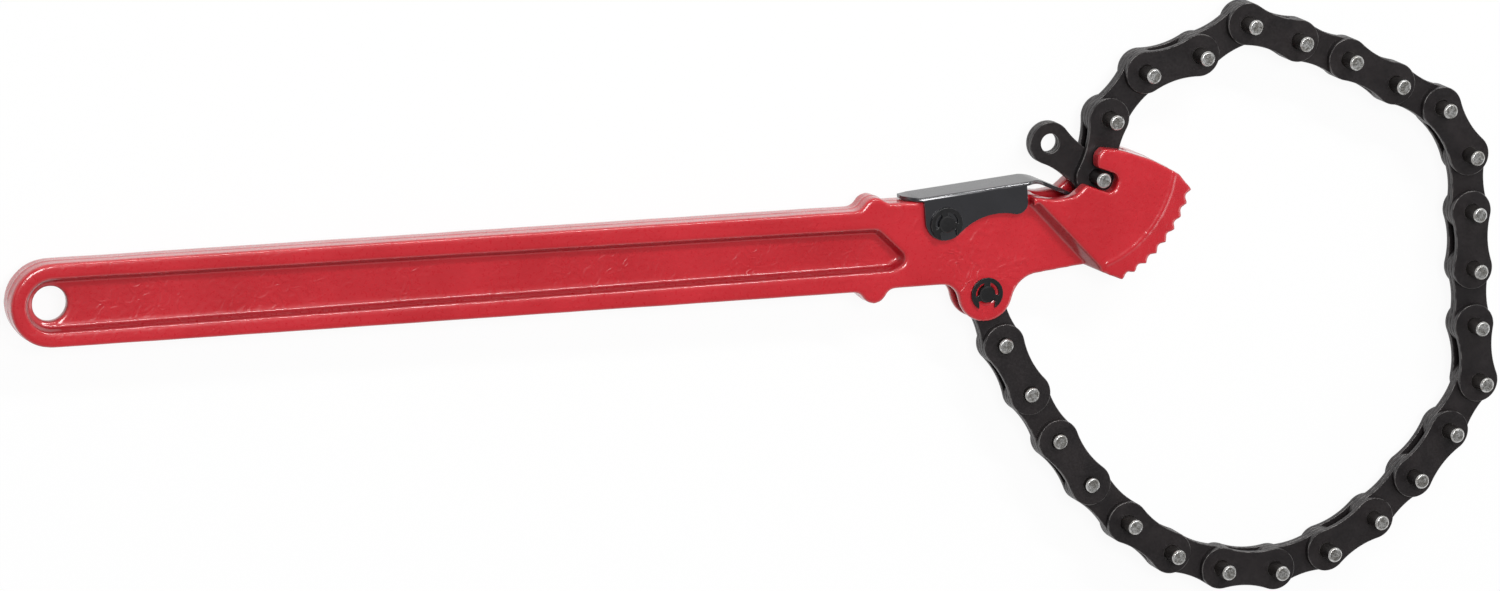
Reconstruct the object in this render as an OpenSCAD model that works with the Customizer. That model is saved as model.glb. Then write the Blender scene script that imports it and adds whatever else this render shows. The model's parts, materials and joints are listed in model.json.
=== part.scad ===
// Chain pipe wrench: a cast handle with a toothed jaw, a leaf chain pinned in a clevis under
// the head, and a sprung sheet-metal keeper that guards the notch where the chain hooks in.
// The tool lies flat. X runs from the hang hole to the jaw, Y to the hook side, Z upwards.
// The origin is the centre of the hang hole, halfway through the casting.

/* [Handle] */
// Distance from the hang hole to the collar lugs
handle_length = 224; // [160:1:320]
// Width of the handle across its two rims
handle_width = 22; // [21:0.5:24]
// Thickness of the handle and the neck
handle_thickness = 9; // [8.5:0.5:11]
// Diameter of the hang hole
hang_hole_d = 9.2; // [6:0.2:11.4]
// Thickness of the web between the two recesses
web_thickness = 3; // [2:0.5:5]
// Width of the rim round the hang hole, at the face
rim_width = 3.9; // [3:0.1:4.2]
// Width of the rims beside the collar, at the face
collar_rim_width = 5.2; // [4:0.1:7]
// Run of the sloping recess wall, from the web up to the face
recess_draft = 1.1; // [0.4:0.1:1.2]
// Radius of the two collar lugs
collar_lug_r = 3.6; // [2.5:0.1:4]
// How far a collar lug stands out of the rim
collar_lug_rise = 3.3; // [2.5:0.1:4]

/* [Head] */
// Height of the neck's top edge above the centre line
neck_rise = 12.5; // [12:0.1:13]
// Depth of the neck's lower edge below the centre line
neck_drop = 10.5; // [10:0.1:11]
// Thickness of the jaw
jaw_thickness = 17; // [15:0.5:18]
// Distance from the collar to the anchor pin, along the handle
anchor_x = 31.7; // [30:0.1:33]
// Depth of the anchor pin below the centre line
anchor_drop = 13.6; // [13:0.1:15]
// Radius of the clevis lug round the anchor pin
lug_r = 7.7; // [6.5:0.1:8]
// Distance from the collar to the hooked chain pin, along the handle
seat_x = 63.2; // [62:0.1:65]
// Height of the hooked chain pin above the centre line
seat_rise = 16; // [15.5:0.1:16.5]
// Slope of the hook notch, rising away from the jaw
notch_slope = 20.5; // [19:0.5:22]
// Room round the hooked pin in its notch
notch_clearance = 0.57; // [0.5:0.01:0.8]
// Radius of the arc through the tooth tips
teeth_r = 35.4; // [34:0.1:37]
// Number of jaw teeth
teeth_count = 9; // [5:1:9]
// Angle from one tooth tip to the next
teeth_step = 6.4; // [5:0.1:6.6]
// Depth of the teeth
tooth_depth = 1.5; // [1:0.1:2]
// How far the jaw's face falls towards the teeth
tooth_bevel = 0.9; // [0.3:0.1:1.5]
// Run of the slope where the neck steps up to the jaw
ridge_run = 2; // [0.5:0.1:3]

/* [Chain] */
// Distance between neighbouring pins
pitch = 15.875; // [15.4:0.025:16.2]
// Thickness of one plate
plate_t = 1.65; // [1.4:0.05:1.8]
// Radius of a plate's round ends
plate_r = 5.75; // [5.2:0.05:5.85]
// Half width of a plate at its waist
waist_r = 4.65; // [4.2:0.05:4.9]
// Radius of a pin inside the inner plates
pin_mid_r = 2.55; // [2.3:0.05:2.8]
// Radius of a pin's riveted ends
pin_end_r = 2.05; // [1.8:0.05:2.15]
// How far a long pin stands out of its outer plate
long_pin_reach = 5.8; // [5:0.1:6.5]
// How far a short pin, near the anchor, stands out of its outer plate
short_pin_reach = 1.6; // [0.8:0.1:2.5]
// Number of links from the anchor whose pins are short
short_pin_links = 4; // [0:2:8]

/* [Keeper] */
// Distance from the collar to the keeper's pin, along the handle
keeper_x = 19.5; // [18.5:0.1:21]
// Height of the keeper's pin above the centre line
keeper_rise = 6.4; // [6:0.1:7]
// Thickness of the keeper's sheet metal
sheet_t = 1; // [0.8:0.1:1.4]
// Slope of the keeper's plate at rest
keeper_tilt = 5; // [4:0.5:6]
// Downward slope of the tongue
tongue_slope = 24; // [22:0.5:25]
// Width of the tongue
tongue_w = 6; // [4:0.1:7]
// Radius of the keeper's round lobe at its pin
lobe_r = 5.7; // [5.2:0.1:6.2]
// Length of the plate from the keeper's pin to its front end
plate_front = 24.2; // [22:0.1:25]
// Length of the plate from the keeper's pin to its curled tail end
plate_tail = 10.6; // [9.5:0.1:12]
// Width of the tail at its end
tail_w = 3.6; // [2.5:0.1:6]

/* [Fasteners] */
// Radius of the anchor and keeper pins
pivot_r = 2.25; // [2:0.05:2.4]
// Outer radius of the spring clips
clip_r = 4.45; // [4:0.05:4.6]
// Thickness of the spring clips
clip_t = 0.7; // [0.5:0.1:1]
// How far a pivot pin stands out of its clip
pivot_stub = 0.4; // [0.3:0.1:1]
// Diameter of the keeper spring's wire
wire_d = 0.8; // [0.6:0.1:0.9]
// Turns of the keeper spring
spring_turns = 4.5; // [2.5:1:4.5]

/* [Fits] */
// Radial clearance of a turning joint
running_fit = 0.06; // [0.03:0.01:0.1]
// Radial clearance of a pin that doesn't turn
fixed_fit = 0.01; // [0.005:0.005:0.02]
// Gap between neighbouring chain plates
plate_gap = 0.08; // [0.05:0.01:0.12]
// Gap between the outer plates and each cheek of the jaw
slot_clearance = 0.48; // [0.3:0.02:0.8]
// Gap between the inner plates and each cheek of the clevis
clevis_clearance = 0.31; // [0.2:0.01:0.6]
// Gap between the keeper's flanges and the neck
keeper_clearance = 0.2; // [0.1:0.05:0.3]

/* [Resting chain] */
// Whole-degree bends at the pins of the lower run, from the anchor to the elbow
lower_bends = [7, 3, 5, 7, 10, 16, 15, 20, 15, 13, 7, 8];
// Whole-degree bends at the pins of the upper run, from the elbow to the hooked pin
upper_bends = [-3, 0, 1, 28, 30, 0, 6, 2, 49, -15, 35, 28];
// Bend of the pull tab at the hooked pin
tab_bend = -114; // [-126:1:-104]

/* [Hidden] */
$fn = 64;
cut = 1;
half_w = handle_width/2;
half_t = handle_thickness/2;
half_jaw = jaw_thickness/2;
web_z = web_thickness/2;
recess_floor_r = half_w - rim_width - recess_draft;
recess_corner_r = 1.2;
recess_half_w = half_w - collar_rim_width - recess_draft - recess_corner_r;
recess_tip = [handle_length + 6.4, -0.75*recess_half_w];
collar_fillet = 3;

// Heights of the chain's plates above the middle of the stack
inner_z = plate_gap/2;
outer_z = inner_z + plate_t + plate_gap;
stack_z = outer_z + plate_t;
waist_arc_r = (pitch*pitch/4 + waist_r*waist_r - plate_r*plate_r)/(2*(plate_r - waist_r));
pin_chamfer = 0.4;

// Places on the head
anchor = [handle_length + anchor_x, -anchor_drop];
seat = [handle_length + seat_x, seat_rise];
pivot = [handle_length + keeper_x, keeper_rise];
slot_half = stack_z + slot_clearance;
clevis_half = inner_z + plate_t + clevis_clearance;
clevis_top = anchor[1] + plate_r + 0.9;
lug_fillet_back = 5;
lug_fillet_front = 8;
throat_drop = 8.9;
slot_start = seat[0] - 17.2;
slot_end = seat[0] + plate_r + 2.6;
slot_floor = seat[1] - plate_r - 3.6;
slot_corner_r = 4;
notch_half = pin_end_r + notch_clearance;
notch_depth = 4.2;
notch_chamfer = 1.2;
teeth_centre = seat + [-8.4, 4.4];
teeth_start = -14;
bevel_band = 6.5;
// Outline of the jaw round the nose and the lip of the notch, from the hooked pin
nose_points = [[22.1, 0.4], [14.1, 4.7], [5.5, 7.8], [0, 8.6], [-1.6, 6.6], [-1.6, 3.4]];
lip_points = [[-5, -1.2], [-8.3, -4], [-13.5, -4.5]];
// Ridge where the neck steps up to the jaw's full thickness, from the hooked pin
ridge_x = seat[0] - 19.7;
ridge_knee = seat[1] - 6;
ridge_foot = seat + [-2.5, -24];
ridge_step = 0.15;

// Keeper, along its own sloping plate
keeper_inner = half_t + keeper_clearance;
keeper_outer = keeper_inner + sheet_t;
plate_kink = 6.8;
plate_rest_gap = 0.12;
plate_under = (neck_rise - pivot[1] + plate_rest_gap + plate_kink*sin(keeper_tilt))/cos(keeper_tilt);
plate_top = plate_under + sheet_t;
tail_curl = 9;
tongue_bend_r = 8;
tongue_root = 5.3;
tongue_tip = seat + [-plate_r - 0.2, -plate_r + 1.3];
front_lobe_r = 3;
lobe = [0, 1.2];
front_lobe = [plate_front - 0.6 - front_lobe_r, 2.6];
lobe_arc_r = 17;

// Keeper spring and the pocket for it
spring_r = pivot_r + wire_d/2 + 0.2;
spring_pitch = wire_d + 0.1;
spring_half = spring_turns*spring_pitch/2 + wire_d/2;
pocket_half = spring_half + 0.3;
pocket_r = spring_r + wire_d/2 + 0.6;
leg_reach = 12;

// Clips and pivot pins
clip_gap = 0.05;
clip_groove_r = pivot_r - 0.45;
clip_ring = 1.2;
anchor_clip_z = half_t + clip_gap;
keeper_clip_z = keeper_outer + clip_gap;
groove_play = 0.04;

// Plane geometry
function turned(v, a) = [v[0]*cos(a) - v[1]*sin(a), v[0]*sin(a) + v[1]*cos(a)];
function angle_of(v) = atan2(v[1], v[0]);
function last(list) = list[len(list) - 1];
function cross_of(v, w) = v[0]*w[1] - v[1]*w[0];
function meet(p, v, q, w) = p + v*cross_of(q - p, w)/cross_of(v, w);
function arc(c, r, from, to, steps) =
  [for (i = [0:steps]) c + turned([r, 0], from + (to - from)*i/steps)];

// Chain at rest: each run of links keeps its bends, and the triangle from the anchor over
// the elbow to the hooked pin closes the loop at any pitch
function headings(bends) = [for (i = 0, h = 0; i <= len(bends); h = h + (i < len(bends) ? bends[i] : 0),
  i = i + 1) h];
function reach(bends) = [for (h = headings(bends)) 1]*[for (h = headings(bends)) turned([pitch, 0], h)];
lower_reach = reach(lower_bends);
upper_reach = reach(upper_bends);
span = seat - anchor;
anchor_corner = acos((norm(lower_reach)^2 + norm(span)^2 - norm(upper_reach)^2)
  /(2*norm(lower_reach)*norm(span)));
lower_turn = angle_of(span) - anchor_corner - angle_of(lower_reach);
elbow = anchor + turned(lower_reach, lower_turn);
upper_turn = angle_of(seat - elbow) - angle_of(upper_reach);
run_headings = concat([for (h = headings(lower_bends)) lower_turn + h],
  [for (h = headings(upper_bends)) upper_turn + h]);
link_headings = concat(run_headings, [last(run_headings) + tab_bend]);
link_count = len(link_headings);
pin_places = [for (i = 0, p = anchor; i <= link_count;
  p = p + (i < link_count ? turned([pitch, 0], link_headings[i]) : [0, 0]), i = i + 1) p];

// Links are numbered from the anchor: odd ones have two inner plates, even ones two outer
// plates riveted to two pins, and the last inner one is the pull tab
inner_links = [1:2:link_count];
outer_links = [2:2:link_count];
function two_digits(k) = str(k < 10 ? "0" : "", k);
function inner_name(k) = str("link_", two_digits(k), "_inner_plates");
function outer_name(k) = str("link_", two_digits(k), "_outer_plates");
function pins_name(k) = str("link_", two_digits(k), "_pins");

// A slab of a flat outline between two heights
module slab(from, to) {
  translate([0, 0, from]) linear_extrude(to - from) children();
}

// A slab on each side of the middle plane
module both_sides(from, to) {
  slab(from, to) children();
  slab(-to, -from) children();
}

// Concave fillet from a round of radius r at c up to a straight edge, on one side
module edge_fillet(c, r, edge, fillet, side) {
  centre = [c[0] + side*sqrt((r + fillet)^2 - (edge - fillet - c[1])^2), edge - fillet];
  difference() {
    polygon([c, [c[0], edge + r], [centre[0], edge + r], centre]);
    translate(centre) circle(fillet);
  }
}

// Concave arc below two rounds, from the first to the second
module lobe_bridge(c1, r1, c2, r2, arc_r) {
  side1 = r1 + arc_r;
  side2 = r2 + arc_r;
  base = norm(c2 - c1);
  corner = acos((side1^2 + base^2 - side2^2)/(2*side1*base));
  centre = c1 + turned([side1, 0], angle_of(c2 - c1) - corner);
  difference() {
    polygon([c1, centre, c2]);
    translate(centre) circle(arc_r);
  }
}

// Handle blank with its round end and the two collar lugs
module handle_outline() {
  circle(half_w);
  translate([0, -half_w]) square([handle_length, handle_width]);
  lug = [handle_length, -half_w - collar_lug_rise + collar_lug_r];
  for (flip = [0, 1]) mirror([0, flip]) {
    translate(lug) circle(collar_lug_r);
    edge_fillet(lug, collar_lug_r, -half_w, collar_fillet, -1);
    edge_fillet(lug, collar_lug_r, flip ? -neck_rise : -neck_drop, collar_fillet, 1);
  }
}

// Neck from the collar to the jaw, with the clevis lug under it
module neck_outline() {
  polygon([
    [handle_length, -neck_drop], [anchor[0], -neck_drop], [anchor[0] + 2*lug_r, -throat_drop],
    [ridge_foot[0], ridge_foot[1] + 0.6], [ridge_foot[0], slot_floor], [slot_start, neck_rise],
    [handle_length, neck_rise]]);
  translate(anchor) circle(lug_r);
  edge_fillet(anchor, lug_r, -neck_drop, lug_fillet_back, -1);
  edge_fillet(anchor, lug_r, -throat_drop, lug_fillet_front, 1);
}

// Toothed jaw with its nose and lip
module jaw_outline() {
  teeth = [for (i = [2*teeth_count - 2:-1:0])
    teeth_centre + turned([teeth_r - (i%2)*tooth_depth, 0], teeth_start - teeth_step*i/2)];
  polygon(concat(
    [ridge_foot], teeth,
    [for (p = nose_points) seat + p],
    [for (p = lip_points) seat + p],
    [[ridge_x, neck_rise], [ridge_x, ridge_knee]]));
}

// Slot of the hook notch, open towards the handle
module notch_outline() {
  translate(seat) rotate(-notch_slope) mirror([1, 0]) polygon([
    [-notch_depth, notch_chamfer - notch_half], [notch_chamfer - notch_depth, -notch_half],
    [3*notch_depth, -notch_half], [3*notch_depth, notch_half],
    [notch_chamfer - notch_depth, notch_half], [-notch_depth, notch_half - notch_chamfer]]);
}

// Slot between the cheeks of the jaw, for the chain's end and the keeper's tongue
module slot_outline() {
  top = seat[1] + 2*plate_r;
  translate([slot_start, slot_floor + slot_corner_r])
    square([slot_end - slot_start, top - slot_floor - slot_corner_r]);
  translate([slot_start + slot_corner_r, slot_floor])
    square([slot_end - slot_start - 2*slot_corner_r, top - slot_floor]);
  for (x = [slot_start + slot_corner_r, slot_end - slot_corner_r])
    translate([x, slot_floor + slot_corner_r]) circle(slot_corner_r);
}

// Recess in one face of the handle, with sloping walls and a pointed end at the collar
module recess() {
  hull() for (level = [[web_z, 0], [half_t, recess_draft]])
    translate([0, 0, level[0]]) {
      cylinder(h = cut, r = recess_floor_r + level[1], $fn = 48);
      for (p = [[handle_length, recess_half_w], recess_tip, [recess_tip[0] - 2, -recess_half_w]])
        translate(p) cylinder(h = cut, r = recess_corner_r + level[1], $fn = 24);
    }
}

// Fall of the jaw's face towards the teeth
module tooth_bevel_cut() {
  translate(teeth_centre) rotate_extrude() polygon([
    [teeth_r - bevel_band, half_jaw], [teeth_r + cut, half_jaw - tooth_bevel],
    [teeth_r + cut, half_jaw + cut], [teeth_r - bevel_band, half_jaw + cut]]);
}

// Slope along the ridge where the neck steps up to the jaw
module ridge_slope_cut() {
  along = ridge_foot - [ridge_x, ridge_knee];
  foot = half_t + ridge_step;
  lift = half_jaw - foot;
  translate([ridge_x, ridge_knee]) rotate(angle_of(along)) rotate([90, 0, 90])
    linear_extrude(norm(along) + ridge_run) polygon([
      [-cut, foot], [0, foot], [ridge_run*(1 + cut/lift), half_jaw + cut], [-cut, half_jaw + cut]]);
}

module bore(place, r, half) {
  translate(place) cylinder(h = 2*half, r = r, center = true);
}

// Handle and jaw, one casting
module handle_jaw() {
  color("firebrick") difference() {
    union() {
      slab(-half_t, half_t) {
        handle_outline();
        neck_outline();
      }
      slab(-half_jaw, half_jaw) jaw_outline();
    }
    recess();
    mirror([0, 0, 1]) recess();
    tooth_bevel_cut();
    mirror([0, 0, 1]) tooth_bevel_cut();
    ridge_slope_cut();
    mirror([0, 0, 1]) ridge_slope_cut();
    slab(-half_jaw - cut, half_jaw + cut) notch_outline();
    slab(-slot_half, slot_half) slot_outline();
    slab(-clevis_half, clevis_half) translate([anchor[0] - 2*lug_r, clevis_top - 3*lug_r])
      square([4*lug_r, 3*lug_r]);
    slab(-pocket_half, pocket_half) spring_pocket_outline();
    bore([0, 0], hang_hole_d/2, half_t + cut);
    bore(anchor, pivot_r + fixed_fit, half_t + cut);
    bore(pivot, pivot_r + fixed_fit, half_t + cut);
  }
}

// Pocket in the neck for the keeper's spring
module spring_pocket_outline() {
  translate(pivot) {
    circle(pocket_r);
    translate([-pocket_r, 0]) square([pocket_r + leg_reach + 1, neck_rise - pivot[1] + cut]);
  }
}

// Pin with a groove for a clip near each end
module pivot_pin(place, clip_z) {
  end_z = clip_z + clip_t + pivot_stub;
  chamfer = 0.3;
  translate(place) difference() {
    rotate_extrude() polygon([
      [0, -end_z], [pivot_r - chamfer, -end_z], [pivot_r, chamfer - end_z],
      [pivot_r, end_z - chamfer], [pivot_r - chamfer, end_z], [0, end_z]]);
    for (z = [clip_z - groove_play, -clip_z - clip_t - groove_play])
      translate([0, 0, z]) difference() {
        cylinder(h = clip_t + 2*groove_play, r = pivot_r + cut);
        cylinder(h = clip_t + 2*groove_play, r = clip_groove_r);
      }
  }
}

// Flat E-shaped spring clip, open on one side, with three prongs in the pin's groove
module clip_outline() {
  prong_w = 1.7;
  mouth_w = 2*pivot_r;
  inner_r = clip_r - clip_ring;
  difference() {
    union() {
      difference() {
        circle(clip_r);
        circle(inner_r);
      }
      for (a = [90, 205, 335]) rotate(a)
        translate([0, -prong_w/2]) square([inner_r + clip_ring/2, prong_w]);
    }
    circle(clip_groove_r + fixed_fit);
    translate([-mouth_w/2, -2*clip_r]) square([mouth_w, 2*clip_r - clip_groove_r]);
  }
}

module clip_pair(place, clip_z, turn) {
  translate(place) both_sides(clip_z, clip_z + clip_t) rotate(turn) clip_outline();
}

module anchor_pin() {
  color("dimgray") pivot_pin(anchor, anchor_clip_z);
}

module anchor_clips() {
  color("dimgray") clip_pair(anchor, anchor_clip_z, 0);
}

module keeper_pin() {
  color("dimgray") pivot_pin(pivot, keeper_clip_z);
}

module keeper_clips() {
  color("dimgray") clip_pair(pivot, keeper_clip_z, 12);
}

// Flange of the keeper, in the keeper's own sloping frame with its pin at the origin
module flange_outline() {
  translate(lobe) circle(lobe_r);
  translate(front_lobe) circle(front_lobe_r);
  lobe_bridge(lobe, lobe_r, front_lobe, front_lobe_r, lobe_arc_r);
  polygon([
    [-lobe_r, lobe[1]], lobe, front_lobe, [front_lobe[0] + front_lobe_r, front_lobe[1]],
    [front_lobe[0] + front_lobe_r, plate_top], [-lobe_r, plate_top]]);
}

// Flat plate of the keeper with its curled tail, seen from the side
module plate_outline() {
  tail = plate_tail - plate_kink;
  rise = tail*tan(tail_curl);
  polygon([
    [-plate_tail, plate_under + rise], [-plate_kink, plate_under], [plate_front, plate_under],
    [plate_front, plate_top], [-plate_kink, plate_top], [-plate_tail, plate_top + rise]]);
}

// Tongue that bends down off the plate into the jaw's slot, seen from the side
module tongue_outline() {
  tip = turned(tongue_tip - pivot, -keeper_tilt);
  drop = tongue_slope + keeper_tilt;
  down = turned([1, 0], -drop);
  bend = meet([0, plate_top], [1, 0], tip, down);
  run = tongue_bend_r*tan(drop/2);
  centre = [bend[0] - run, plate_top - tongue_bend_r];
  under = tongue_bend_r - sheet_t;
  polygon(concat(
    [[plate_front - cut, plate_top]],
    arc(centre, tongue_bend_r, 90, 90 - drop, 8),
    [tip, tip + turned([0, -sheet_t], -drop)],
    arc(centre, under, 90 - drop, 90, 8),
    [[plate_front - cut, plate_under]]));
}

// The plate and the tongue seen from above: the plate tapers to its tail and to the tongue
module sheet_plan() {
  tip = plate_front + 2*tongue_root + plate_r;
  tail_start = lobe_r + 0.3;
  polygon([
    [-plate_tail - cut, -tail_w/2], [-plate_tail, -tail_w/2],
    [-tail_start, -keeper_outer], [plate_front, -keeper_outer],
    [plate_front + tongue_root, -tongue_w/2], [tip, -tongue_w/2], [tip, tongue_w/2],
    [plate_front + tongue_root, tongue_w/2], [plate_front, keeper_outer], [-tail_start, keeper_outer],
    [-plate_tail, tail_w/2], [-plate_tail - cut, tail_w/2]]);
}

// Keeper: a sheet-metal channel over the neck with a tongue in front
module keeper() {
  over = 2*plate_top;
  color("darkslategray") translate(pivot) difference() {
    rotate(keeper_tilt) {
      intersection() {
        slab(-keeper_outer - cut, keeper_outer + cut) {
          plate_outline();
          tongue_outline();
        }
        translate([0, over, 0]) rotate([90, 0, 0]) linear_extrude(2*over) sheet_plan();
      }
      both_sides(keeper_inner, keeper_outer) flange_outline();
    }
    bore([0, 0], pivot_r + running_fit, keeper_outer + cut);
  }
}

// Round wire along a list of points, as rings of corners joined by faces
module wire(points, r, sides) {
  count = len(points);
  rings = [for (i = [0:count - 1]) let (
      ahead = points[min(i + 1, count - 1)] - points[max(i - 1, 0)],
      along = ahead/norm(ahead),
      across = cross([0, 0, 1], along)/norm(cross([0, 0, 1], along)),
      up = cross(along, across))
    for (s = [0:sides - 1]) points[i] + r*(cos(360*s/sides)*across + sin(360*s/sides)*up)];
  skin = [for (i = [0:count - 2], s = [0:sides - 1]) let (t = (s + 1)%sides)
    [i*sides + s, (i + 1)*sides + s, (i + 1)*sides + t, i*sides + t]];
  caps = [[for (s = [0:sides - 1]) s], [for (s = [sides - 1:-1:0]) (count - 1)*sides + s]];
  polyhedron(rings, concat(skin, caps), convexity = 6);
}

// Torsion spring on the keeper's pin: one leg lifts the plate, the other bears on the neck
module keeper_spring() {
  steps = 12*spring_turns;
  sweep = 360*spring_turns;
  coil_z = spring_turns*spring_pitch/2;
  leg_top = turned([leg_reach, plate_under - wire_d/2 - 0.1], keeper_tilt);
  coil = [for (i = [0:steps]) [
    spring_r*cos(100 + sweep*i/steps), spring_r*sin(100 + sweep*i/steps), coil_z*(2*i/steps - 1)]];
  // The lower leg runs straight on from the coil to the pocket's wall
  end_turn = 100 + sweep;
  heel_run = sqrt(pow(pocket_r - wire_d/2 - 0.1, 2) - pow(spring_r, 2));
  heel = [
    spring_r*cos(end_turn) - heel_run*sin(end_turn), spring_r*sin(end_turn) + heel_run*cos(end_turn), coil_z];
  color("silver") translate(pivot) wire(
    concat([[leg_top[0], leg_top[1], -coil_z]], coil, [heel]), wire_d/2, 8);
}

// Outline of one chain plate, waisted between its two round ends, without its holes
module plate_shape() {
  tangent = plate_r/(plate_r + waist_arc_r);
  flank = waist_r + waist_arc_r;
  for (x = [0, pitch]) translate([x, 0]) circle(plate_r);
  difference() {
    translate([tangent*pitch/2, -tangent*flank]) square([pitch*(1 - tangent), 2*tangent*flank]);
    for (side = [-1, 1]) translate([pitch/2, side*flank]) circle(waist_arc_r);
  }
}

// Two like plates of one link, each drilled at both ends
module plate_pair(k, from, near_r, far_r) {
  translate(pin_places[k - 1]) rotate(link_headings[k - 1]) difference() {
    both_sides(from, from + plate_t) plate_shape();
    bore([0, 0], near_r, stack_z + cut);
    bore([pitch, 0], far_r, stack_z + cut);
  }
}

module inner_plates(k) {
  near_r = k == 1 ? pivot_r : pin_mid_r;
  color("dimgray") plate_pair(k, inner_z, near_r + running_fit, pin_mid_r + running_fit);
}

module outer_plates(k) {
  color("darkgray") plate_pair(k, outer_z, pin_end_r + fixed_fit, pin_end_r + fixed_fit);
}

// Shouldered pin: stout inside the inner plates, thinner through the outer ones
module chain_pin(half) {
  shoulder = outer_z - plate_gap/2;
  rotate_extrude() polygon([
    [0, -half], [pin_end_r - pin_chamfer, -half], [pin_end_r, pin_chamfer - half],
    [pin_end_r, -shoulder], [pin_mid_r, -shoulder], [pin_mid_r, shoulder], [pin_end_r, shoulder],
    [pin_end_r, half - pin_chamfer], [pin_end_r - pin_chamfer, half], [0, half]]);
}

module link_pins(k) {
  half = stack_z + (k <= short_pin_links ? short_pin_reach : long_pin_reach);
  color("lightgray") for (i = [k - 1, k]) translate(pin_places[i]) chain_pin(half);
}

handle_jaw();
anchor_pin();
anchor_clips();
keeper();
keeper_pin();
keeper_clips();
keeper_spring();
for (k = inner_links) inner_plates(k);
for (k = outer_links) outer_plates(k);
for (k = outer_links) link_pins(k);
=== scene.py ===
# %% [markdown]
# # Chain pipe wrench
# The tool is a red enamelled casting with a toothed jaw, a black leaf chain that loops round to a
# notch in the jaw, and a sprung sheet-metal keeper over that notch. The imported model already
# holds every piece in its place, in metres. This lesson gives the pieces the rounded
# edges, the finishes and the light that make them look like the real tool.

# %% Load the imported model
import json
import math

import bmesh
import bpy
from mathutils import Matrix, Vector, noise

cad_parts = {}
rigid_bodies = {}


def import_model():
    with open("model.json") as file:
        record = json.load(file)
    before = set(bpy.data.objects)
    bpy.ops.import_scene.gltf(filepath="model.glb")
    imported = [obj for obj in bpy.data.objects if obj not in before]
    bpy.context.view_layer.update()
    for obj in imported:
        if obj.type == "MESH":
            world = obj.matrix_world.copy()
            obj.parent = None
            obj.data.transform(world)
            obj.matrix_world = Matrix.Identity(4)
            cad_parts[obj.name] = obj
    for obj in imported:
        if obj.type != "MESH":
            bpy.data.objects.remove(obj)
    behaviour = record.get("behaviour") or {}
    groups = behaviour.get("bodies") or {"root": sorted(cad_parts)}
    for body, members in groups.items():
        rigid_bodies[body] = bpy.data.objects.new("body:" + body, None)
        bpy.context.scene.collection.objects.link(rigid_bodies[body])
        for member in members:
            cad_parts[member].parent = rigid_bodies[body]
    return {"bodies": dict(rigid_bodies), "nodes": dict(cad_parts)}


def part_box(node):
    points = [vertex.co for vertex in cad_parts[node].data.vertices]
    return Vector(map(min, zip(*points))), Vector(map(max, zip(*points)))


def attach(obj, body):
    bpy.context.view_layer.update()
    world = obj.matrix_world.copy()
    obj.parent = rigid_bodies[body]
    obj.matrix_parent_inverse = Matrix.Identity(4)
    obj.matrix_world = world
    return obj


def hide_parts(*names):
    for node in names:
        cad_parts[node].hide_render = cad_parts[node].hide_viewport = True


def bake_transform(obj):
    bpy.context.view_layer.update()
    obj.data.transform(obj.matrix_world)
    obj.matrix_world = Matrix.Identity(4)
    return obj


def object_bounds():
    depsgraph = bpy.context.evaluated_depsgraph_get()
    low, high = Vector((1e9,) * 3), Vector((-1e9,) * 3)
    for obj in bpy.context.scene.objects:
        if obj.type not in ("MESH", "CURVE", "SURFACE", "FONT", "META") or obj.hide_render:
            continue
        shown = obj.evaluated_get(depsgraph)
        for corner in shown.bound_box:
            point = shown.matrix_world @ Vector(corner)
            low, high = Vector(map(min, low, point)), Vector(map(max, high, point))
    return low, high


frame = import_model()
cad_box = [list(corner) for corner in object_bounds()]
scene = bpy.context.scene
scene.view_settings.view_transform = "Standard"
MM = 0.001

# %% [markdown]
# ## Camera
# The photograph looks down on the tool from two metres away, from beyond the hang hole and a
# little from the hook side, through a long lens. The camera's three directions and its place were
# found from the chain, whose pins are evenly spaced. A matrix built from those directions sets the
# camera's turn and tilt at once, which is simpler than three separate angles.

# %% Camera
camera_right = Vector((0.94141, 0.00699, 0.33718))
camera_up = Vector((0.06476, 0.97744, -0.20106))
camera_back = camera_right.cross(camera_up)
camera_data = bpy.data.cameras.new("camera")
camera_data.sensor_width = 36
camera_data.lens = 186.72
camera_data.clip_end = 20
camera = bpy.data.objects.new("camera", camera_data)
scene.collection.objects.link(camera)
camera.matrix_world = Matrix((camera_right, camera_up, camera_back)).transposed().to_4x4()
camera.location = (-0.48921, 0.42282, 1.88844)
scene.camera = camera
print("camera", [round(x, 3) for x in camera.location], "lens", camera_data.lens)

# %% [markdown]
# ## Materials start from a few small helpers
# A material is a tree of nodes, and most trees here begin alike: one Principled BSDF, and
# Object coordinates in millimetres, so that a pattern's size can be read as a real size.
# These helpers make a node, start such a tree and give it its coordinates.

# %% Node helpers
def add_node(tree, kind, **values):
    """A new node. A value goes to the input of that name, or else to the node's own setting."""
    made = tree.nodes.new(kind)
    for name, value in values.items():
        if name in made.inputs:
            made.inputs[name].default_value = value
        else:
            setattr(made, name, value)
    return made


def start_material(name, **values):
    material = bpy.data.materials.new(name)
    material.use_nodes = True
    tree = material.node_tree
    tree.nodes.clear()
    shader = add_node(tree, "ShaderNodeBsdfPrincipled")
    for socket, value in values.items():
        shader.inputs[socket.replace("_", " ")].default_value = value
    output = add_node(tree, "ShaderNodeOutputMaterial")
    tree.links.new(shader.outputs["BSDF"], output.inputs["Surface"])
    return material, tree, shader


def millimetres(tree):
    place = add_node(tree, "ShaderNodeTexCoord")
    scaled = add_node(tree, "ShaderNodeVectorMath", operation="SCALE")
    scaled.inputs["Scale"].default_value = 1/MM
    tree.links.new(place.outputs["Object"], scaled.inputs[0])
    return scaled.outputs["Vector"]


print("node helpers ready")

# %% [markdown]
# ## Sums and mixtures
# A finish is worked out in small steps: take a noise, stretch the part of it that matters, multiply
# it by a mask, and mix two colours by the result. Each step is one node, so each has a helper that makes
# the node, joins it up and hands back its output for the next step.

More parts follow.
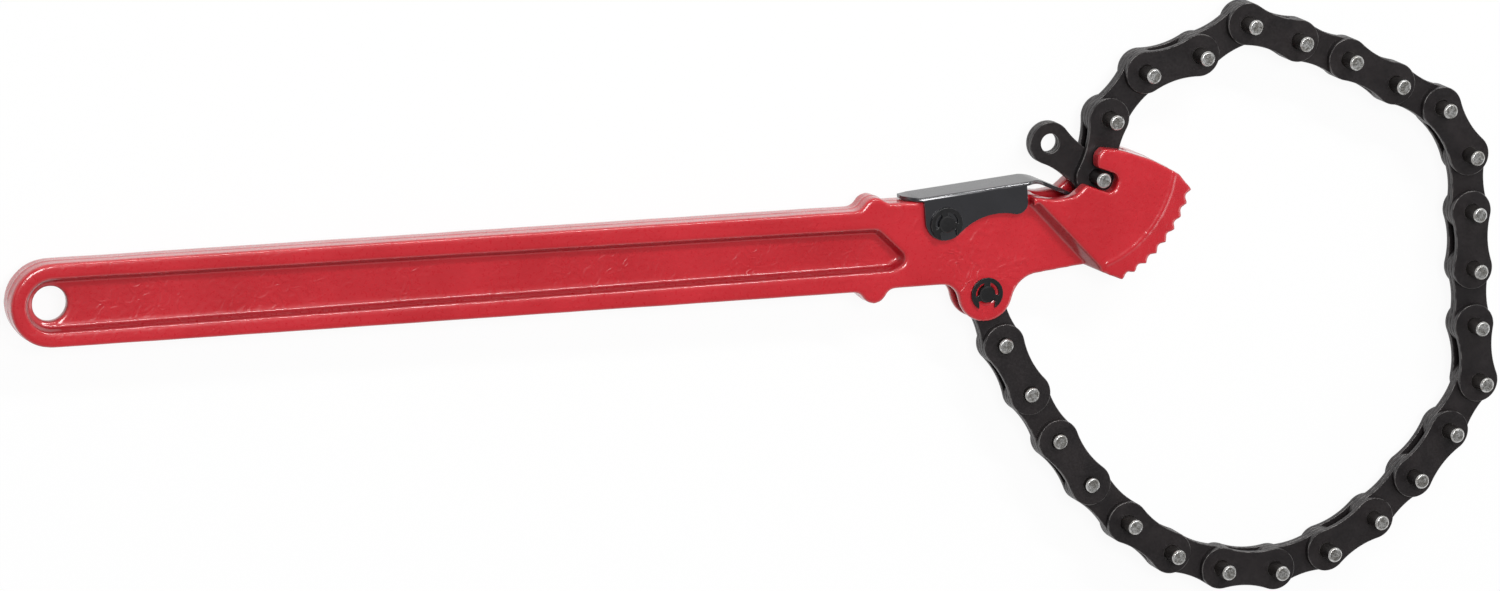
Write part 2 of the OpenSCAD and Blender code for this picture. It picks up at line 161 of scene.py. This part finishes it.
# %% Value and colour helpers
def add_math(tree, operation, *values):
    """One step of arithmetic, where each value is a number or a socket that gives one."""
    made = add_node(tree, "ShaderNodeMath", operation=operation)
    for target, value in zip(made.inputs, values):
        if isinstance(value, bpy.types.NodeSocket):
            tree.links.new(value, target)
        else:
            target.default_value = value
    return made.outputs["Value"]


def ramp_value(tree, value, low, high, to_low, to_high):
    """Maps a value from one range to another and stops at its ends."""
    made = add_node(tree, "ShaderNodeMapRange", interpolation_type="SMOOTHSTEP")
    numbers = {"From Min": low, "From Max": high, "To Min": to_low, "To Max": to_high}
    for name, number in numbers.items():
        made.inputs[name].default_value = number
    tree.links.new(value, made.inputs["Value"])
    return made.outputs["Result"]


def blend_colours(tree, factor, first, second):
    """A colour between two, where each is a colour or a socket that gives one."""
    mix = add_node(tree, "ShaderNodeMix", data_type="RGBA")
    tree.links.new(factor, mix.inputs["Factor"])
    for socket, colour in (("A", first), ("B", second)):
        target = next(s for s in mix.inputs if s.name == socket and s.type == "RGBA")
        if isinstance(colour, bpy.types.NodeSocket):
            tree.links.new(colour, target)
        else:
            target.default_value = (*colour, 1)
    return next(s for s in mix.outputs if s.type == "RGBA")


print("value helpers ready")

# %% [markdown]
# ## Shared effects as node groups
# Two effects turn up on several finishes. *Mottle* is the uneven tone of oxide, paint and steel: two
# layers of noise, one broad and one fine. *Worn edge and sheen* lightens the rounded edges, partly as
# wear where handling has rubbed a finish and partly as a painted highlight: each piece carries a value
# called edge, which is 1 along its rounded edges, and the group breaks that up with noise. A node group
# keeps each effect in one place, with its values set per material.

# %% Mottle and worn-edge-and-sheen groups
def start_group(name, values, outputs):
    group = bpy.data.node_groups.new(name, "ShaderNodeTree")
    group.interface.new_socket("Vector", in_out="INPUT", socket_type="NodeSocketVector")
    for title, value in values.items():
        socket = group.interface.new_socket(title, in_out="INPUT", socket_type="NodeSocketFloat")
        socket.default_value = value
    for title in outputs:
        group.interface.new_socket(title, in_out="OUTPUT", socket_type="NodeSocketFloat")
    return group, group.nodes.new("NodeGroupInput"), group.nodes.new("NodeGroupOutput")


def scaled_noise(tree, vector, scale, detail):
    made = add_node(tree, "ShaderNodeTexNoise", Detail=detail)
    tree.links.new(vector, made.inputs["Vector"])
    tree.links.new(scale, made.inputs["Scale"])
    return made.outputs["Fac"]


def add_group(tree, group, vector, **values):
    made = add_node(tree, "ShaderNodeGroup", node_tree=group)
    for name, value in values.items():
        made.inputs[name].default_value = value
    tree.links.new(vector, made.inputs["Vector"])
    return made


mottle_group, entry, leave = start_group("mottle", {"Broad": 0.1, "Fine": 1.5}, ["Tone", "Grain"])
broad = scaled_noise(mottle_group, entry.outputs["Vector"], entry.outputs["Broad"], 4)
fine = scaled_noise(mottle_group, entry.outputs["Vector"], entry.outputs["Fine"], 3)
mottle_group.links.new(broad, leave.inputs["Tone"])
mottle_group.links.new(fine, leave.inputs["Grain"])

# Edge lightening: rubbed wear and a painted highlight along the rounded edges.
wear_and_sheen_group, entry, leave = start_group("worn_edge_and_sheen", {"Patch": 0.4, "Amount": 0.6}, ["Mask"])
edge = add_node(wear_and_sheen_group, "ShaderNodeAttribute", attribute_name="edge")
patch = scaled_noise(wear_and_sheen_group, entry.outputs["Vector"], entry.outputs["Patch"], 3)
patchy = ramp_value(wear_and_sheen_group, patch, 0.35, 0.62, 0, 1)
rubbed_and_lit = add_math(wear_and_sheen_group, "MULTIPLY", edge.outputs["Fac"], patchy)
mask = add_math(wear_and_sheen_group, "MULTIPLY", rubbed_and_lit, entry.outputs["Amount"])
wear_and_sheen_group.links.new(mask, leave.inputs["Mask"])
print("groups", [g.name for g in bpy.data.node_groups])

# %% [markdown]
# ## Black oxide steel
# The chain plates, the keeper and the clips are blackened steel with a satin surface. The oxide is a
# thin dark skin, so the shader is set between metal and paint: it keeps a charcoal tone face
# on and turns pale grey at a glancing angle, as the top of the keeper does. Its edges are painted
# brighter, partly as rubbed wear and partly as a painted highlight. The keeper is smooth sheet, so its
# grain is weaker and it mirrors more.

# %% Black oxide finishes
def black_steel(name, dark, light, rub_and_sheen, rough, grain, ior=1.5, relief=0.08, uneven=0.07):
    material, tree, shader = start_material(name, Metallic=0.35, IOR=ior)
    vector = millimetres(tree)
    mottle = add_group(tree, mottle_group, vector, Broad=0.16, Fine=grain)
    wear_and_sheen = add_group(tree, wear_and_sheen_group, vector, Patch=0.5, Amount=0.7)
    tone = ramp_value(tree, mottle.outputs["Tone"], 0.3, 0.7, 0, 1)
    oxide = blend_colours(tree, tone, dark, light)
    # Brighter edges: rubbed wear and a painted highlight.
    colour = blend_colours(tree, wear_and_sheen.outputs["Mask"], oxide, rub_and_sheen)
    tree.links.new(colour, shader.inputs["Base Color"])
    roughness = ramp_value(tree, mottle.outputs["Grain"], 0.3, 0.7, rough - uneven, rough + uneven)
    tree.links.new(roughness, shader.inputs["Roughness"])
    bump = add_node(tree, "ShaderNodeBump", Strength=relief, Distance=0.02*MM)
    tree.links.new(mottle.outputs["Grain"], bump.inputs["Height"])
    tree.links.new(bump.outputs["Normal"], shader.inputs["Normal"])
    return material


plate_black = black_steel(
    "plate_black", dark=(0.0138, 0.0115, 0.0123), light=(0.023, 0.0188, 0.0195),
    rub_and_sheen=(0.2, 0.19, 0.185), rough=0.4, grain=2.2)
keeper_black = black_steel(
    "keeper_black", dark=(0.012, 0.012, 0.016), light=(0.017, 0.017, 0.022),
    rub_and_sheen=(0.12, 0.12, 0.13), rough=0.22, grain=3.0, ior=2.4, relief=0.01, uneven=0.03)
clip_black = black_steel(
    "clip_black", dark=(0.009, 0.009, 0.0095), light=(0.015, 0.015, 0.016),
    rub_and_sheen=(0.16, 0.16, 0.16), rough=0.36, grain=3.0)
shank_black = black_steel(
    "shank_black", dark=(0.014, 0.012, 0.0115), light=(0.029, 0.025, 0.023),
    rub_and_sheen=(0.12, 0.11, 0.1), rough=0.38, grain=2.5)
print("oxide finishes", [m.name for m in (plate_black, keeper_black, clip_black, shank_black)])

# %% [markdown]
# ## Cut steel
# The ends of the chain pins are bare: they were cut off and riveted, so they are bright,
# a little pitted, and duller in the pits. Their rounded rims are painted near white, partly as polish and
# partly as a painted highlight. The keeper's hidden spring is drawn wire and shares the finish.

# %% Bare steel finishes
POLISHED_AND_HIGHLIGHT = (0.86, 0.86, 0.87)


def bare_steel(name, dull, bright, rough, pit):
    material, tree, shader = start_material(name, Metallic=1.0)
    vector = millimetres(tree)
    mottle = add_group(tree, mottle_group, vector, Broad=0.9, Fine=3.4)
    wear_and_sheen = add_group(tree, wear_and_sheen_group, vector, Patch=0.5, Amount=0.9)
    tone = ramp_value(tree, mottle.outputs["Tone"], 0.38, 0.62, 0, 1)
    metal = blend_colours(tree, tone, dull, bright)
    # Near-white rims: polish and a painted highlight along the rounded edges.
    colour = blend_colours(tree, wear_and_sheen.outputs["Mask"], metal, POLISHED_AND_HIGHLIGHT)
    tree.links.new(colour, shader.inputs["Base Color"])
    roughness = ramp_value(tree, mottle.outputs["Grain"], 0.35, 0.65, rough + 0.14, rough - 0.08)
    tree.links.new(roughness, shader.inputs["Roughness"])
    bump = add_node(tree, "ShaderNodeBump", Strength=0.6, Distance=pit*MM)
    tree.links.new(mottle.outputs["Tone"], bump.inputs["Height"])
    tree.links.new(bump.outputs["Normal"], shader.inputs["Normal"])
    return material


pin_end_steel = bare_steel(
    "pin_end_steel", dull=(0.3, 0.29, 0.27), bright=(0.54, 0.54, 0.53), rough=0.34, pit=0.06)
spring_steel = bare_steel(
    "spring_steel", dull=(0.3, 0.3, 0.31), bright=(0.5, 0.5, 0.52), rough=0.3, pit=0.02)
print("steel finishes", pin_end_steel.name, spring_steel.name)

# %% [markdown]
# ## Red enamel on a casting
# The handle was cast in sand and dipped in a thick red enamel. Its red drifts a little from place
# to place. The steep walls of the recess and of the step to the jaw, and a little of the web, are painted
# darker as painted shade, where the casting carries a value for it. The rounded edges are painted a
# lighter pink, partly thin paint and partly a painted highlight. The clear shine of the enamel is the
# shader's own coat.

# %% Red enamel: colour and shine
ENAMEL_DARK = (0.485, 0.0125, 0.021)
ENAMEL_LIGHT = (0.55, 0.0175, 0.028)
ENAMEL_PAINTED_SHADE = (0.24, 0.004, 0.009)
ENAMEL_WORN_AND_SHEEN = (0.72, 0.09, 0.09)
red_enamel, tree, shader = start_material(
    "red_enamel", Specular_IOR_Level=0.3, Coat_Weight=0.9, Coat_Roughness=0.13)
vector = millimetres(tree)
mottle = add_group(tree, mottle_group, vector, Broad=0.05, Fine=0.9)
wear_and_sheen = add_group(tree, wear_and_sheen_group, vector, Patch=0.35, Amount=0.3)
painted_shade = add_node(tree, "ShaderNodeAttribute", attribute_name="painted_shade")
tone = ramp_value(tree, mottle.outputs["Tone"], 0.3, 0.7, 0, 1)
paint_tone = blend_colours(tree, tone, ENAMEL_DARK, ENAMEL_LIGHT)
# Painted shade: darker red on the recess walls, the step to the jaw and the web.
paint = blend_colours(tree, painted_shade.outputs["Fac"], paint_tone, ENAMEL_PAINTED_SHADE)
# Lighter pink on the rounded edges: partly thin paint, partly a painted highlight.
colour = blend_colours(tree, wear_and_sheen.outputs["Mask"], paint, ENAMEL_WORN_AND_SHEEN)
tree.links.new(colour, shader.inputs["Base Color"])
roughness = ramp_value(tree, mottle.outputs["Grain"], 0.3, 0.7, 0.26, 0.38)
tree.links.new(roughness, shader.inputs["Roughness"])
print("enamel", red_enamel.name)

# %% [markdown]
# ## Peel and creases
# Up close the enamel has a fine orange peel, and on the sunken web and the neck it is creased like
# leather. Both are too fine to model, so they are bumps: a fine noise for the peel, and for the creases a
# noise that rises to a crest wherever it crosses its middle value. The web lies near the middle
# plane of the handle, so the height of a point tells whether it is on the web.

# %% Red enamel: peel and creases
NECK_MIDDLE = 254
crease_noise = add_node(tree, "ShaderNodeTexNoise", Scale=0.3, Detail=1, Distortion=0.8)
patch_noise = add_node(tree, "ShaderNodeTexNoise", Scale=0.06, Detail=2)
place = add_node(tree, "ShaderNodeSeparateXYZ")
for node in (crease_noise, patch_noise, place):
    tree.links.new(vector, node.inputs["Vector"])
from_middle = add_math(tree, "SUBTRACT", crease_noise.outputs["Fac"], 0.5)
crests = ramp_value(tree, add_math(tree, "ABSOLUTE", from_middle), 0, 0.15, 1, 0)
patches = ramp_value(tree, patch_noise.outputs["Fac"], 0.4, 0.6, 0.15, 1)
height = add_math(tree, "ABSOLUTE", place.outputs["Z"])
on_web = ramp_value(tree, height, 1.9, 3, 0.6, 0.3)
past_neck = add_math(tree, "SUBTRACT", place.outputs["X"], NECK_MIDDLE)
on_neck = ramp_value(tree, add_math(tree, "ABSOLUTE", past_neck), 10, 24, 1.2, 0)
crease = add_math(tree, "MULTIPLY", crests, patches)
deep_crease = add_math(tree, "MULTIPLY", crease, add_math(tree, "MAXIMUM", on_web, on_neck))
crease_bump = add_node(tree, "ShaderNodeBump", Strength=1.0, Distance=0.11*MM)
tree.links.new(deep_crease, crease_bump.inputs["Height"])
peel_bump = add_node(tree, "ShaderNodeBump", Strength=0.2, Distance=0.05*MM)
tree.links.new(mottle.outputs["Grain"], peel_bump.inputs["Height"])
tree.links.new(crease_bump.outputs["Normal"], peel_bump.inputs["Normal"])
tree.links.new(peel_bump.outputs["Normal"], shader.inputs["Normal"])
print("enamel tree", len(tree.nodes), "nodes")

# %% [markdown]
# ## Copies that may change shape
# A node of the imported model is never changed, so a piece that needs rounder edges is a copy. The packed
# meshes are loose triangles. Merging their corners and dissolving the lines across
# flat faces leaves clean faces, and every sharp edge that is left can be bevelled. The middle
# of each bevel gets the value edge = 1, which the group for worn edges and painted highlight reads.

# %% Copies and bevels
SAME_POINT = 0.001*MM
SAME_PLANE = math.radians(0.5)


def merged_copy(node):
    mesh = bmesh.new()
    mesh.from_mesh(frame["nodes"][node].data)
    bmesh.ops.remove_doubles(mesh, verts=mesh.verts, dist=SAME_POINT)
    return mesh


def clean_copy(node):
    mesh = merged_copy(node)
    bmesh.ops.dissolve_limit(mesh, angle_limit=SAME_PLANE, verts=mesh.verts, edges=mesh.edges)
    return mesh


def sharp_edges(mesh, least):
    """The edges that turn by more than the least number of degrees."""
    turn = math.radians(least)
    return [e for e in mesh.edges if len(e.link_faces) == 2 and e.calc_face_angle() > turn]


def bevel_edges(mesh, edges, width, segments, clamped=True):
    made = bmesh.ops.bevel(
        mesh, geom=edges, offset=width, offset_type="OFFSET", segments=segments, profile=0.5,
        affect="EDGES", clamp_overlap=clamped, material=-1)
    layer = mesh.verts.layers.float.get("edge") or mesh.verts.layers.float.new("edge")
    rounded = {face for face in made["faces"] if face.is_valid}
    for vert in {vert for face in rounded for vert in face.verts}:
        if all(face in rounded for face in vert.link_faces):
            vert[layer] = 1.0


print("copies can be bevelled")

# %% [markdown]
# ## From a mesh to a piece of the tool
# A finished copy becomes an object that rides on the same body as its node, takes its place while the
# node is hidden, and gets its materials. Large flat faces beside small round edges would be shaded as if
# they bulged, so a modifier weighs the normals by the size of the faces.

# %% Pieces
CORNER = 40


def piece_from(mesh, name, body, node, materials):
    data = bpy.data.meshes.new(name)
    mesh.to_mesh(data)
    mesh.free()
    for material in materials:
        data.materials.append(material)
    data.shade_smooth()
    piece = bpy.data.objects.new(name, data)
    scene.collection.objects.link(piece)
    if body:
        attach(piece, body)
    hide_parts(node)
    return piece


def flat_faces(piece):
    """Keeps the light even on large flat faces beside small rounded edges."""
    finish = piece.modifiers.new("flat_faces", "WEIGHTED_NORMAL")
    finish.weight = 100
    finish.keep_sharp = True


def softened(node, name, body, material, width):
    mesh = clean_copy(node)
    bevel_edges(mesh, sharp_edges(mesh, CORNER), width, 2)
    flat_faces(piece_from(mesh, name, body, node, [material]))


print("copies can become pieces")

# %% [markdown]
# ## Chain plates
# Each plate was punched from strip, so its rim is a little rounded on both faces. A narrow bevel
# shows as the thin bright line that outlines every plate in the photograph.

# %% Chain plates
PLATE_ROUND = 0.28*MM
LINKS = sorted(b for b in frame["bodies"] if b.startswith("link_"))
for link in LINKS:
    for node in (link + "_inner_plates", link + "_outer_plates"):
        if node in frame["nodes"]:
            name = node.replace("link", "plates", 1)
            softened(node, name, link, plate_black, PLATE_ROUND)
print("plates on", len(LINKS), "links")

# %% [markdown]
# ## Chain pins
# A pin is dark along its shank and bare at its two ends, where it was cut and chamfered. Two materials on
# one mesh do this: a face near the tip of the pin takes the second one.

# %% Chain pins
PIN_ROUND = 0.1*MM
BARE_TIP = 0.42*MM


def chain_pins(link):
    node = link + "_pins"
    name = link.replace("link", "pins", 1)
    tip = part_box(node)[1].z
    mesh = clean_copy(node)
    bevel_edges(mesh, sharp_edges(mesh, CORNER), PIN_ROUND, 2)
    for face in mesh.faces:
        face.material_index = int(abs(face.calc_center_median().z) > tip - BARE_TIP)
    flat_faces(piece_from(mesh, name, link, node, [shank_black, pin_end_steel]))


PINNED = [link for link in LINKS if link + "_pins" in frame["nodes"]]
for link in PINNED:
    chain_pins(link)
print("pins on", len(PINNED), "links")

# %% [markdown]
# ## Keeper
# The keeper is one piece of sheet folded into a channel, so the two long edges of its plate are
# round bends and not corners. They get a wide bevel first, and all other edges a small one.

# %% Keeper
BEND_ROUND = 0.95*MM
SHEET_ROUND = 0.16*MM
SHEET_CORNER = 50
LONG_EDGE = 4*MM
CLOSE = 0.01*MM
mesh = clean_copy("keeper")
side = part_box("keeper")[1].z


def is_fold(edge):
    along = edge.verts[1].co - edge.verts[0].co
    outside = all(abs(abs(v.co.z) - side) < CLOSE for v in edge.verts)
    top = any(face.normal.y > 0.9 for face in edge.link_faces)
    return outside and top and abs(along.z) < CLOSE and along.length > LONG_EDGE


folds = [e for e in mesh.edges if is_fold(e)]
print("folds", [round(e.calc_length()/MM, 1) for e in folds])
bevel_edges(mesh, folds, BEND_ROUND, 5, clamped=False)
bevel_edges(mesh, sharp_edges(mesh, SHEET_CORNER), SHEET_ROUND, 2)
keeper = piece_from(mesh, "keeper_channel", "keeper", "keeper", [keeper_black])
flat_faces(keeper)
print("keeper", len(keeper.data.polygons), "faces")

# %% [markdown]
# ## Clips, pivot pins and spring
# The clips are thin stamped rings with a hint of a rounded edge. The pivot pins have the right
# shape in the imported model, so they stay and only get a finish. The hidden torsion spring has one leg
# under the keeper's plate and its heel against the neck. When the keeper is pressed, the coils share
# the twist; here the spring is a plain copy that rides on no body.

# %% Clips, pivot pins and spring
CLIP_ROUND = 0.1*MM
for node in ("anchor_clips", "keeper_clips"):
    name = node.replace("clips", "rings")
    softened(node, name, "handle", clip_black, CLIP_ROUND)
for node in ("anchor_pin", "keeper_pin"):
    frame["nodes"][node].data.materials.clear()
    frame["nodes"][node].data.materials.append(clip_black)
coil = merged_copy("keeper_spring")
spring = piece_from(coil, "torsion_spring", None, "keeper_spring", [spring_steel])
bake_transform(spring)

# %% [markdown]
# ## The casting
# Nothing on a sand casting is sharp: every edge is rounded by the mould and filled by the paint.
# Bevels would fail where so many cuts meet, so the copy is rebuilt from small even cells with a voxel
# remesh, and then smoothed. The teeth are smoothed less, because they bite.

# %% Casting: even cells, then smoothing
CELL = 0.42*MM
JAW_CENTRE = Vector((278.8, 20.4))*MM
TEETH_INSIDE = 32.2*MM
TEETH_FROM_X = 286*MM
TEETH_BELOW_Y = 13.5*MM


def from_jaw_centre(point):
    return (point.xy - JAW_CENTRE).length


def is_toothed(point):
    outside = from_jaw_centre(point) > TEETH_INSIDE
    return outside and point.x > TEETH_FROM_X and point.y < TEETH_BELOW_Y


def evaluated_copy(mesh, name, kind, **settings):
    """The mesh after one modifier, as a new bmesh."""
    data = bpy.data.meshes.new(name)
    mesh.to_mesh(data)
    mesh.free()
    holder = bpy.data.objects.new(name, data)
    scene.collection.objects.link(holder)
    modifier = holder.modifiers.new(name, kind)
    for setting, value in settings.items():
        setattr(modifier, setting, value)
    graph = bpy.context.evaluated_depsgraph_get()
    result = bmesh.new()
    result.from_mesh(holder.evaluated_get(graph).to_mesh())
    bpy.data.objects.remove(holder)
    bpy.data.meshes.remove(data)
    return result


def smooth(mesh, verts, times):
    for _ in range(times):
        bmesh.ops.smooth_vert(
            mesh, verts=verts, factor=0.5, use_axis_x=True, use_axis_y=True, use_axis_z=True)


casting = merged_copy("handle_jaw")
casting = evaluated_copy(casting, "even_cells", "REMESH", mode="VOXEL", voxel_size=CELL)
before = [v.co.copy() for v in casting.verts]
smooth(casting, casting.verts[:], 2)
smooth(casting, [v for v in casting.verts if not is_toothed(v.co)], 7)
casting.normal_update()
print("casting", len(casting.verts), "points in even cells")

# %% [markdown]
# ## Where paint wears and shines, and where shade is painted
# How far a point moved while it was smoothed tells how sharp its edge was, and that becomes its edge
# value. The steep walls of the recess and of the step to the jaw, and a little of the web, get a value
# that the enamel reads as painted shade.

# %% Casting: edge and painted-shade values
FULL_EDGE = 0.25*MM
RECESS_HALF = 7.5*MM
RECESS_END = 232.5*MM
RECESS_TOP = 4.3*MM
STEP_START, STEP_END = 266.8*MM, 287*MM
STEP_BELOW_Y = 11.2*MM
STEP_FOOT = 4.6*MM


def painted_wall_shade(point, normal):
    """Painted shade: most on the steep walls of the recess and the step of the jaw, a little on the web.
    """
    away = abs(point.y) if point.x > 0 else point.xy.length
    in_recess = away < RECESS_HALF and point.x < RECESS_END and abs(point.z) < RECESS_TOP
    by_step = STEP_START < point.x < STEP_END and point.y < STEP_BELOW_Y
    on_step = by_step and abs(point.z) > STEP_FOOT and normal.x < -0.25
    steep = min(1.0, max(0.0, (0.95 - abs(normal.z))/0.4))
    if in_recess:
        return 0.12 + 0.6*steep
    return 0.7*steep if on_step else 0.0


edge_layer = casting.verts.layers.float.new("edge")
for vert, old in zip(casting.verts, before):
    sunk = (old - vert.co).dot(vert.normal)
    vert[edge_layer] = min(1.0, max(0.0, sunk/FULL_EDGE - 0.15))
# Painted shade on the steep walls, kept as a value on each point.
painted_shade_layer = casting.verts.layers.float.new("painted_shade")
for vert in casting.verts:
    vert[painted_shade_layer] = painted_wall_shade(vert.co, vert.normal)
print("points with pooled paint", sum(v[painted_shade_layer] > 0.5 for v in casting.verts))

# %% [markdown]
# ## Traces of the mould
# Where the two halves of the mould met, a low seam runs round the middle of the edge. The face of the jaw
# falls away towards the teeth from a raised line that was left by the pattern. The iron cooled with a
# wrinkled skin on the neck, and no long edge is quite straight. Each of these is a small move of the
# points along their normals, so that the light finds it from every side. Where the keeper slides
# and the clips sit, the casting was machined, so those places stay flat.

# %% Casting: seam, raised line, wrinkles and waves
SEAM_HIGH, SEAM_WIDE = 0.24*MM, 0.3*MM
LINE_HIGH, LINE_WIDE = 0.27*MM, 0.6*MM
LINE_RADIUS, LINE_FROM_X = 28.9*MM, 288*MM
WAVE_HIGH = 0.07*MM
WRINKLE_HIGH = 0.16*MM
HOLE_CLEAR = 6.5*MM
CHEEK = 6*MM
NECK_SKIN = 4.2*MM
KEEPER_LOBE, LOBE_CLEAR = Vector((243.5, 7.6))*MM, 6.3*MM
ANCHOR, CLIP_CLEAR = Vector((255.7, -13.6))*MM, 5.2*MM
FLANGE_START, FLANGE_END, FLANGE_LOW = 236.5*MM, 267.4*MM, 5.6*MM


def hump(distance, width):
    return math.exp(-(distance/width)**2)


def wrinkle(point):
    """0 to 1: crests of a folded noise, in patches and mostly on the neck."""
    bent = point*230 + 1.1*noise.noise_vector(point*140)
    crest = 1 - 5*abs(noise.noise(bent))
    patch = 0.35 + 2.2*noise.noise(point*80)
    on_neck = hump(point.x - 250*MM, 30*MM)
    return max(0.0, crest)*min(1.0, max(0.0, patch))*(0.2 + 0.8*on_neck)


def is_machined(point):
    """Where the keeper slides over the neck, and under the clip of the anchor pin."""
    near_lobe = (point.xy - KEEPER_LOBE).length < LOBE_CLEAR
    beside_flange = FLANGE_START < point.x < FLANGE_END and point.y > FLANGE_LOW
    return near_lobe or beside_flange or (point.xy - ANCHOR).length < CLIP_CLEAR


def mould_trace(point, normal):
    """How far a point rises along its normal."""
    if is_machined(point):
        return 0.0
    rise = WAVE_HIGH*noise.noise(point*90)
    on_face = abs(normal.z) > 0.7
    on_rim = abs(normal.z) < 0.5 and point.length > HOLE_CLEAR
    has_skin = abs(point.z) > NECK_SKIN or point.x < RECESS_END
    if on_face and has_skin and not is_toothed(point):
        rise += WRINKLE_HIGH*wrinkle(point)
    if on_rim and not is_toothed(point):
        rise += SEAM_HIGH*hump(point.z, SEAM_WIDE)*(0.8 + 0.4*noise.noise(point*160))
    if on_face and abs(point.z) > CHEEK and point.x > LINE_FROM_X:
        rough = 0.85 + 0.4*noise.noise(point*700)
        rise += LINE_HIGH*hump(from_jaw_centre(point) - LINE_RADIUS, LINE_WIDE)*rough
    return rise


moves = [mould_trace(v.co, v.normal) for v in casting.verts]
print("highest trace", round(max(moves)/MM, 2), "mm")

# %% [markdown]
# ## The casting becomes a piece
# The points move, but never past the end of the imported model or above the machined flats. Small
# even cells are more than a flat face needs, so a modifier that merges faces thins them out.

# %% Casting: move the points and thin the faces
NECK_HALF = 4.5*MM
KEPT_SHARE = 0.42
for vert, move in zip(casting.verts, moves):
    vert.co += vert.normal*move
    vert.co.x = max(vert.co.x, cad_box[0][0])
    if is_machined(vert.co):
        vert.co.z = max(-NECK_HALF, min(NECK_HALF, vert.co.z))
casting = evaluated_copy(casting, "fewer_faces", "DECIMATE", ratio=KEPT_SHARE)
bmesh.ops.triangulate(casting, faces=[f for f in casting.faces if len(f.verts) > 3])
casting_piece = piece_from(casting, "casting", "handle", "handle_jaw", [red_enamel])
print("casting", len(casting_piece.data.polygons), "triangles")

# %% [markdown]
# ## White studio
# The photograph is a product picture on pure white: a bright tent of light with no hard shadow. Rays
# from the camera, and reflections, see white round the tool and a dimmer ceiling above it, while
# only a part of that light falls on the tool.

# %% World
ROOM_LIGHT = 0.26
CEILING = 0.22


def background_rays(tree):
    """1 for a ray that should see the white background, and 0 for light that falls on the tool."""
    rays = add_node(tree, "ShaderNodeLightPath")
    seen = rays.outputs["Is Camera Ray"]
    for other in ("Is Glossy Ray", "Is Transmission Ray"):
        seen = add_math(tree, "MAXIMUM", seen, rays.outputs[other])
    return seen


world = bpy.data.worlds.new("white_studio")
scene.world = world
world.use_nodes = True
tree = world.node_tree
sky = tree.nodes["Background"]
sky.inputs["Color"].default_value = (1, 1, 1, 1)
direction = add_node(tree, "ShaderNodeTexCoord")
upward = add_node(tree, "ShaderNodeSeparateXYZ")
tree.links.new(direction.outputs["Generated"], upward.inputs["Vector"])
reflected = ramp_value(tree, upward.outputs["Z"], 0.25, 0.75, 1, CEILING)
strength = add_node(tree, "ShaderNodeMix", A=ROOM_LIGHT)
tree.links.new(background_rays(tree), strength.inputs["Factor"])
tree.links.new(reflected, strength.inputs["B"])
tree.links.new(strength.outputs["Result"], sky.inputs["Strength"])
print("world", world.name)

# %% [markdown]
# ## Ground
# The tool lies on a pale plane. Rays from the camera, and reflections, see it as almost pure white,
# while the rest of the light still falls on it, so that the tool keeps a faint shadow.

# %% Ground
WHITENESS = 0.93
GROUND_GAP = 0.3*MM
ground_white, tree, shader = start_material(
    "ground_white", Base_Color=(0.9, 0.9, 0.9, 1), Roughness=0.9)
glow = add_node(tree, "ShaderNodeEmission")
seen_as = add_node(tree, "ShaderNodeMixShader")
whiteness = ramp_value(tree, background_rays(tree), 0, 1, 0, WHITENESS)
tree.links.new(whiteness, seen_as.inputs["Fac"])
tree.links.new(shader.outputs["BSDF"], seen_as.inputs[1])
tree.links.new(glow.outputs["Emission"], seen_as.inputs[2])
tree.links.new(seen_as.outputs["Shader"], tree.nodes["Material Output"].inputs["Surface"])

ground_mesh = bmesh.new()
bmesh.ops.create_grid(ground_mesh, x_segments=1, y_segments=1, size=4)
ground_place = (0.2, 0, cad_box[0][2] - GROUND_GAP)
bmesh.ops.translate(ground_mesh, verts=ground_mesh.verts, vec=ground_place)
ground_data = bpy.data.meshes.new("ground")
ground_mesh.to_mesh(ground_data)
ground_mesh.free()
ground_data.materials.append(ground_white)
ground = bpy.data.objects.new("ground", ground_data)
scene.collection.objects.link(ground)
print("ground at", round(ground_place[2]/MM, 2), "mm")

# %% [markdown]
# ## Lamps
# Three soft boxes shape the tool: a large one overhead, a long narrow one on the hook side that
# draws the bright lines along the edges, and a weak one that lifts the shadows on the right.

# %% Lamps
MIDDLE = Vector((0.2, 0, 0))


def softbox(name, place, size, power):
    data = bpy.data.lights.new(name, "AREA")
    data.shape = "RECTANGLE"
    data.size, data.size_y = size
    data.energy = power
    lamp = bpy.data.objects.new(name, data)
    scene.collection.objects.link(lamp)
    lamp.location = place
    lamp.rotation_euler = (MIDDLE - Vector(place)).to_track_quat("-Z", "Y").to_euler()


softbox("overhead", place=(0.02, 0.45, 1.73), size=(0.6, 0.5), power=19)
softbox("hook_side", place=(0.6, 1.05, 0.95), size=(0.75, 0.08), power=9)
softbox("right_fill", place=(1.6, -0.5, 0.7), size=(0.6, 0.6), power=2)
